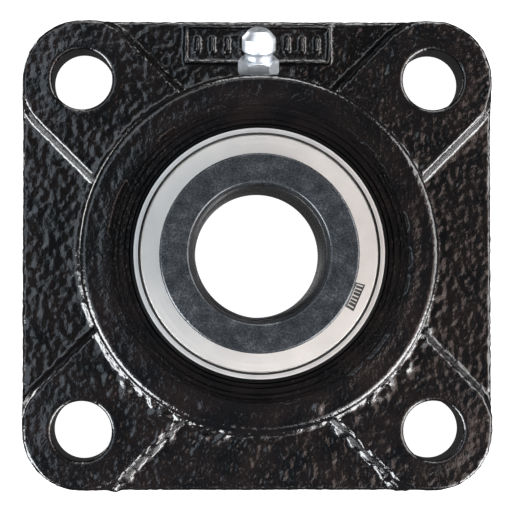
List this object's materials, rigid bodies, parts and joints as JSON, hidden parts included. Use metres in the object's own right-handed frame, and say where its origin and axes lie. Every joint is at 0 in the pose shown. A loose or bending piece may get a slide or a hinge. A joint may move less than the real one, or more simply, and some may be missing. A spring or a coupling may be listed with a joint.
{
  "type": "four-bolt flange mount bearing",
  "caption": "Square cast flange unit with a self-aligning ball bearing insert, shrouded seals, an eccentric locking collar for the shaft and a grease fitting on the hub.",
  "frame": {"origin": "centre of the mounting face, on the shaft's axis", "axes": "+Z along the shaft's axis, away from the mounting face towards the locking collar; +Y towards the grease fitting"},
  "size_m": [0.095, 0.095, 0.0449],
  "materials": {
    "cast_paint": "gloss black enamel over an as-cast surface",
    "ring_steel": "ground bearing steel",
    "cage_steel": "pressed steel",
    "rivet_steel": "upset steel",
    "black_oxide": "matt black oxide on steel",
    "screw_black": "black oxide",
    "zinc": "bright zinc plate",
    "ball_steel": "polished bearing steel",
    "spring_steel": "drawn wire",
    "shroud_steel": "satin pressed steel",
    "seal_rubber": "nitrile rubber"
  },
  "bodies": {
    "housing": {"flange_housing": "cast_paint", "grease_fitting": "zinc", "grease_check_spring": "spring_steel", "grease_spring_plug": "zinc"},
    "outer_ring": {"outer_ring": "ring_steel", "seal_front_inner_shroud": "shroud_steel", "seal_front_washer": "seal_rubber", "seal_front_outer_shroud": "shroud_steel", "seal_rear_inner_shroud": "shroud_steel", "seal_rear_washer": "seal_rubber", "seal_rear_outer_shroud": "shroud_steel"},
    "inner_ring": {"inner_ring": "ring_steel"},
    "cage": {"cage_front_half": "cage_steel", "cage_rear_half": "cage_steel", "cage_rivets": "rivet_steel"},
    "locking_collar": {"locking_collar": "black_oxide"},
    "collar_set_screw": {"collar_set_screw": "screw_black"},
    "grease_check_ball": {"grease_check_ball": "ball_steel"},
    "ball_1": {"ball_1": "ball_steel"},
    "ball_2": {"ball_2": "ball_steel"},
    "ball_3": {"ball_3": "ball_steel"},
    "ball_4": {"ball_4": "ball_steel"},
    "ball_5": {"ball_5": "ball_steel"},
    "ball_6": {"ball_6": "ball_steel"},
    "ball_7": {"ball_7": "ball_steel"},
    "ball_8": {"ball_8": "ball_steel"},
    "ball_9": {"ball_9": "ball_steel"}
  },
  "joints": [
    {"name": "outer_ring_swivel", "type": "hinge", "parent": "housing", "child": "outer_ring", "pos_m": [0, 0, 0.018], "axis": [1, 0, 0], "range_deg": [-2.5, 2.5]},
    {"name": "inner_ring_spin", "type": "hinge", "parent": "outer_ring", "child": "inner_ring", "pos_m": [0, 0, 0.018], "axis": [0, 0, 1], "continuous": true},
    {"name": "cage_spin", "type": "hinge", "parent": "outer_ring", "child": "cage", "pos_m": [0, 0, 0.018], "axis": [0, 0, 1], "continuous": true},
    {"name": "collar_lock", "type": "hinge", "parent": "inner_ring", "child": "locking_collar", "pos_m": [0.00027, -0.00075, 0.034], "axis": [0, 0, 1], "range_deg": [-91.9, 3.9]},
    {"name": "set_screw_travel", "type": "slide", "parent": "locking_collar", "child": "collar_set_screw", "axis": [-0.2079, -0.9781, 0], "range_m": [-0.0015, 0.0004]},
    {"name": "grease_check_ball_travel", "type": "slide", "parent": "housing", "child": "grease_check_ball", "axis": [0, -0.9063, -0.4226], "range_m": [0, 0.0006], "stiffness_N_per_m": 200, "springref_m": -0.001, "deforming": ["grease_check_spring"]},
    {"name": "ball_1_spin", "type": "hinge", "parent": "cage", "child": "ball_1", "pos_m": [0.01952, 0, 0.018], "axis": [0, 0, 1], "continuous": true},
    {"name": "ball_2_spin", "type": "hinge", "parent": "cage", "child": "ball_2", "pos_m": [0.01495, 0.01255, 0.018], "axis": [0, 0, 1], "continuous": true},
    {"name": "ball_3_spin", "type": "hinge", "parent": "cage", "child": "ball_3", "pos_m": [0.00339, 0.01922, 0.018], "axis": [0, 0, 1], "continuous": true},
    {"name": "ball_4_spin", "type": "hinge", "parent": "cage", "child": "ball_4", "pos_m": [-0.00976, 0.0169, 0.018], "axis": [0, 0, 1], "continuous": true},
    {"name": "ball_5_spin", "type": "hinge", "parent": "cage", "child": "ball_5", "pos_m": [-0.01834, 0.00668, 0.018], "axis": [0, 0, 1], "continuous": true},
    {"name": "ball_6_spin", "type": "hinge", "parent": "cage", "child": "ball_6", "pos_m": [-0.01834, -0.00668, 0.018], "axis": [0, 0, 1], "continuous": true},
    {"name": "ball_7_spin", "type": "hinge", "parent": "cage", "child": "ball_7", "pos_m": [-0.00976, -0.0169, 0.018], "axis": [0, 0, 1], "continuous": true},
    {"name": "ball_8_spin", "type": "hinge", "parent": "cage", "child": "ball_8", "pos_m": [0.00339, -0.01922, 0.018], "axis": [0, 0, 1], "continuous": true},
    {"name": "ball_9_spin", "type": "hinge", "parent": "cage", "child": "ball_9", "pos_m": [0.01495, -0.01255, 0.018], "axis": [0, 0, 1], "continuous": true}
  ],
  "couplings": [
    {"joint": "cage_spin", "follows": "inner_ring_spin", "ratio": 0.39834},
    {"joint": "ball_1_spin", "follows": "inner_ring_spin", "ratio": -2.3574},
    {"joint": "ball_2_spin", "follows": "inner_ring_spin", "ratio": -2.3574},
    {"joint": "ball_3_spin", "follows": "inner_ring_spin", "ratio": -2.3574},
    {"joint": "ball_4_spin", "follows": "inner_ring_spin", "ratio": -2.3574},
    {"joint": "ball_5_spin", "follows": "inner_ring_spin", "ratio": -2.3574},
    {"joint": "ball_6_spin", "follows": "inner_ring_spin", "ratio": -2.3574},
    {"joint": "ball_7_spin", "follows": "inner_ring_spin", "ratio": -2.3574},
    {"joint": "ball_8_spin", "follows": "inner_ring_spin", "ratio": -2.3574},
    {"joint": "ball_9_spin", "follows": "inner_ring_spin", "ratio": -2.3574}
  ]
}
